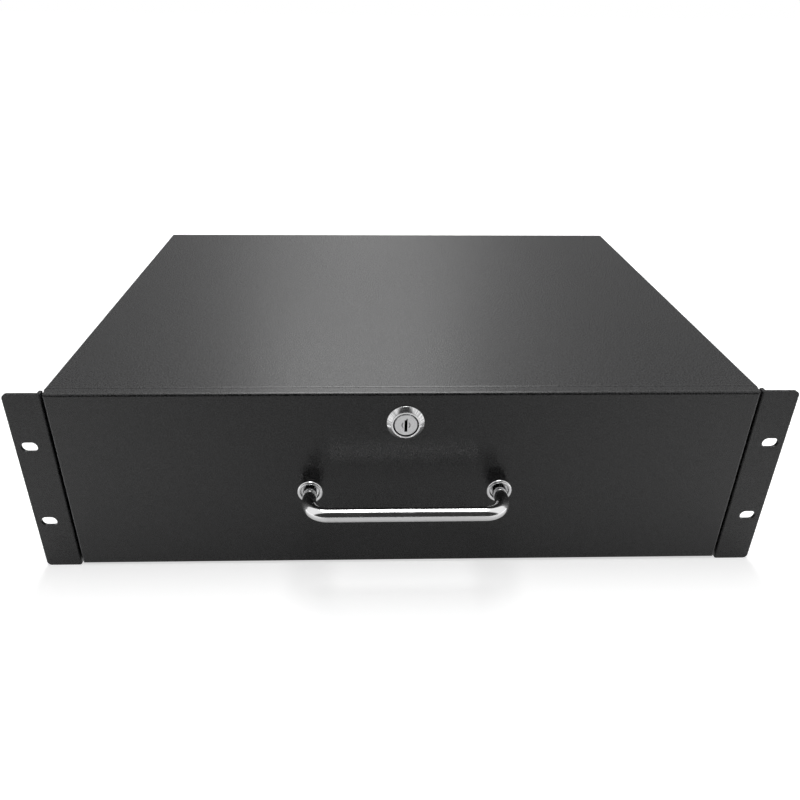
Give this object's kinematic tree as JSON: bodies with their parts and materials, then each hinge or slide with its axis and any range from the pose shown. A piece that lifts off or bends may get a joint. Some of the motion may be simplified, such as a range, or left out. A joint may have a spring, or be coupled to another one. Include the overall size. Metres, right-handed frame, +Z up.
{
  "type": "lockable rack drawer",
  "caption": "Lockable sliding drawer for a 19-inch rack: folded steel case with slotted rack ears, telescopic ball slides, open tray, bow handle and cam lock.",
  "frame": {"origin": "middle of the four rack slots, on the plane where the backs of the ears meet the rack rails", "axes": "+X to the right seen from the front, +Y into the rack, +Z up"},
  "size_m": [0.4826, 0.3909, 0.1311],
  "materials": {
    "black_coat": "fine-texture semi-matte powder coat",
    "chrome": "bright plated",
    "zinc": "bright zinc plated",
    "black_screw": "black zinc",
    "black_plastic": "matte moulded"
  },
  "bodies": {
    "case": {"case_shell": "black_coat", "base_pan": "black_coat", "rear_panel": "black_coat", "rack_ear_left": "black_coat", "rack_ear_right": "black_coat", "ear_screws": "black_screw", "ear_nuts": "zinc", "base_screws": "black_screw", "rear_screws": "black_screw", "slide_outer_left": "zinc", "slide_outer_right": "zinc", "slide_bumper_left": "black_plastic", "slide_bumper_right": "black_plastic", "slide_case_screws": "black_screw"},
    "drawer": {"slide_inner_left": "zinc", "slide_inner_right": "zinc", "slide_tray_screws": "zinc", "drawer_front": "black_coat", "drawer_tray": "black_coat", "handle_bar": "chrome", "handle_ferrules": "chrome", "handle_washers": "zinc", "handle_screws": "zinc", "lock_housing": "chrome", "lock_washer": "zinc", "lock_nut": "zinc"},
    "lock": {"lock_plug": "chrome", "lock_cam": "zinc", "cam_screw": "zinc"},
    "middle_left": {"slide_middle_left": "zinc"},
    "middle_right": {"slide_middle_right": "zinc"},
    "outer_cage_left": {"outer_cage_left": "zinc", "outer_balls_left": "chrome"},
    "outer_cage_right": {"outer_cage_right": "zinc", "outer_balls_right": "chrome"},
    "inner_cage_left": {"inner_cage_left": "zinc", "inner_balls_left": "chrome"},
    "inner_cage_right": {"inner_cage_right": "zinc", "inner_balls_right": "chrome"}
  },
  "joints": [
    {"name": "drawer_slide", "type": "slide", "parent": "case", "child": "drawer", "axis": [0, -1, 0], "range_m": [0, 0.3]},
    {"name": "lock_turn", "type": "hinge", "parent": "drawer", "child": "lock", "pos_m": [0, 0, 0.045], "axis": [0, 1, 0], "range_deg": [0, 90]},
    {"name": "middle_left_slide", "type": "slide", "parent": "case", "child": "middle_left", "axis": [0, -1, 0], "range_m": [0, 0.15]},
    {"name": "middle_right_slide", "type": "slide", "parent": "case", "child": "middle_right", "axis": [0, -1, 0], "range_m": [0, 0.15]},
    {"name": "outer_cage_left_slide", "type": "slide", "parent": "case", "child": "outer_cage_left", "axis": [0, -1, 0], "range_m": [0, 0.075]},
    {"name": "outer_cage_right_slide", "type": "slide", "parent": "case", "child": "outer_cage_right", "axis": [0, -1, 0], "range_m": [0, 0.075]},
    {"name": "inner_cage_left_slide", "type": "slide", "parent": "case", "child": "inner_cage_left", "axis": [0, -1, 0], "range_m": [0, 0.225]},
    {"name": "inner_cage_right_slide", "type": "slide", "parent": "case", "child": "inner_cage_right", "axis": [0, -1, 0], "range_m": [0, 0.225]}
  ],
  "couplings": [
    {"joint": "middle_left_slide", "follows": "drawer_slide", "ratio": 0.5},
    {"joint": "middle_right_slide", "follows": "drawer_slide", "ratio": 0.5},
    {"joint": "outer_cage_left_slide", "follows": "drawer_slide", "ratio": 0.25},
    {"joint": "outer_cage_right_slide", "follows": "drawer_slide", "ratio": 0.25},
    {"joint": "inner_cage_left_slide", "follows": "drawer_slide", "ratio": 0.75},
    {"joint": "inner_cage_right_slide", "follows": "drawer_slide", "ratio": 0.75}
  ]
}
